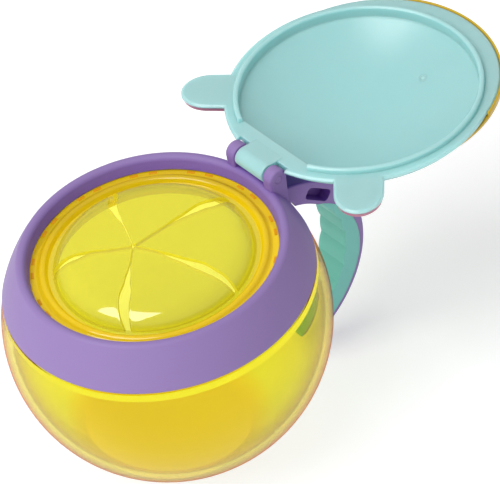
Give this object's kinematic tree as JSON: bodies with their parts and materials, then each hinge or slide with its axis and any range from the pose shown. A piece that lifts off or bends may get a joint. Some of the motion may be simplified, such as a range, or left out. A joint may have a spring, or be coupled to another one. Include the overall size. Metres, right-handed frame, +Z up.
{
  "type": "toddler snack container",
  "caption": "Round clear snack bowl with a threaded collar, soft slit flaps for a small hand, a hinged flip lid and an open curved handle.",
  "frame": {"origin": "middle of the bowl's flat base", "axes": "+Z up, out of the mouth; +Y from the bowl towards the hinge and the handle; +X across, along the hinge"},
  "size_m": [0.092, 0.1571, 0.0911],
  "materials": {
    "bowl_plastic": "clear tinted yellow polypropylene, polished",
    "insert_elastomer": "soft yellow thermoplastic elastomer, satin",
    "collar_plastic": "lilac polypropylene, fine satin gloss",
    "grip_elastomer": "soft teal elastomer, satin",
    "lid_plastic": "pale aqua polypropylene, satin gloss",
    "cover_yellow": "mustard yellow polypropylene, glossy",
    "cover_pink": "dusty pink polypropylene, satin"
  },
  "bodies": {
    "bowl": {"bowl": "bowl_plastic"},
    "insert": {"insert_ring": "insert_elastomer"},
    "flap_1": {"insert_flap_1": "insert_elastomer"},
    "flap_2": {"insert_flap_2": "insert_elastomer"},
    "flap_3": {"insert_flap_3": "insert_elastomer"},
    "flap_4": {"insert_flap_4": "insert_elastomer"},
    "flap_5": {"insert_flap_5": "insert_elastomer"},
    "collar": {"collar": "collar_plastic", "handle_frame": "collar_plastic", "handle_grip": "grip_elastomer", "hinge_pin": "collar_plastic"},
    "lid": {"lid_shell": "lid_plastic", "lip_cover": "cover_yellow", "tab_cover_left": "cover_pink", "tab_cover_right": "cover_pink"}
  },
  "joints": [
    {"name": "collar_turn", "type": "hinge", "parent": "bowl", "child": "insert", "pos_m": [0, 0, 0.03924], "axis": [0, -0.1874, 0.9823], "range_deg": [0, 85]},
    {"name": "collar_rise", "type": "slide", "parent": "insert", "child": "collar", "axis": [0, -0.1874, 0.9823], "range_m": [0, 0.0034]},
    {"name": "lid_hinge", "type": "hinge", "parent": "collar", "child": "lid", "pos_m": [0, 0.03206, 0.07612], "axis": [1, 0, 0], "range_deg": [0, 182]},
    {"name": "flap_1_bend", "type": "hinge", "parent": "insert", "child": "flap_1", "pos_m": [-0.01058, 0.00918, 0.06885], "axis": [0.809, 0.5774, 0.1101], "range_deg": [0, 35], "stiffness_Nm_per_rad": 0.01},
    {"name": "flap_2_bend", "type": "hinge", "parent": "insert", "child": "flap_2", "pos_m": [-0.01712, -0.01059, 0.06508], "axis": [-0.309, 0.9342, 0.1782], "range_deg": [0, 35], "stiffness_Nm_per_rad": 0.01},
    {"name": "flap_3_bend", "type": "hinge", "parent": "insert", "child": "flap_3", "pos_m": [0, -0.02281, 0.06274], "axis": [-1, 0, 0], "range_deg": [0, 35], "stiffness_Nm_per_rad": 0.01},
    {"name": "flap_4_bend", "type": "hinge", "parent": "insert", "child": "flap_4", "pos_m": [0.01712, -0.01059, 0.06508], "axis": [-0.309, -0.9342, -0.1782], "range_deg": [0, 35], "stiffness_Nm_per_rad": 0.01},
    {"name": "flap_5_bend", "type": "hinge", "parent": "insert", "child": "flap_5", "pos_m": [0.01058, 0.00918, 0.06885], "axis": [0.809, -0.5774, -0.1101], "range_deg": [0, 35], "stiffness_Nm_per_rad": 0.01}
  ],
  "couplings": [
    {"joint": "collar_rise", "follows": "collar_turn", "m_per_rad": 0.0022918}
  ]
}
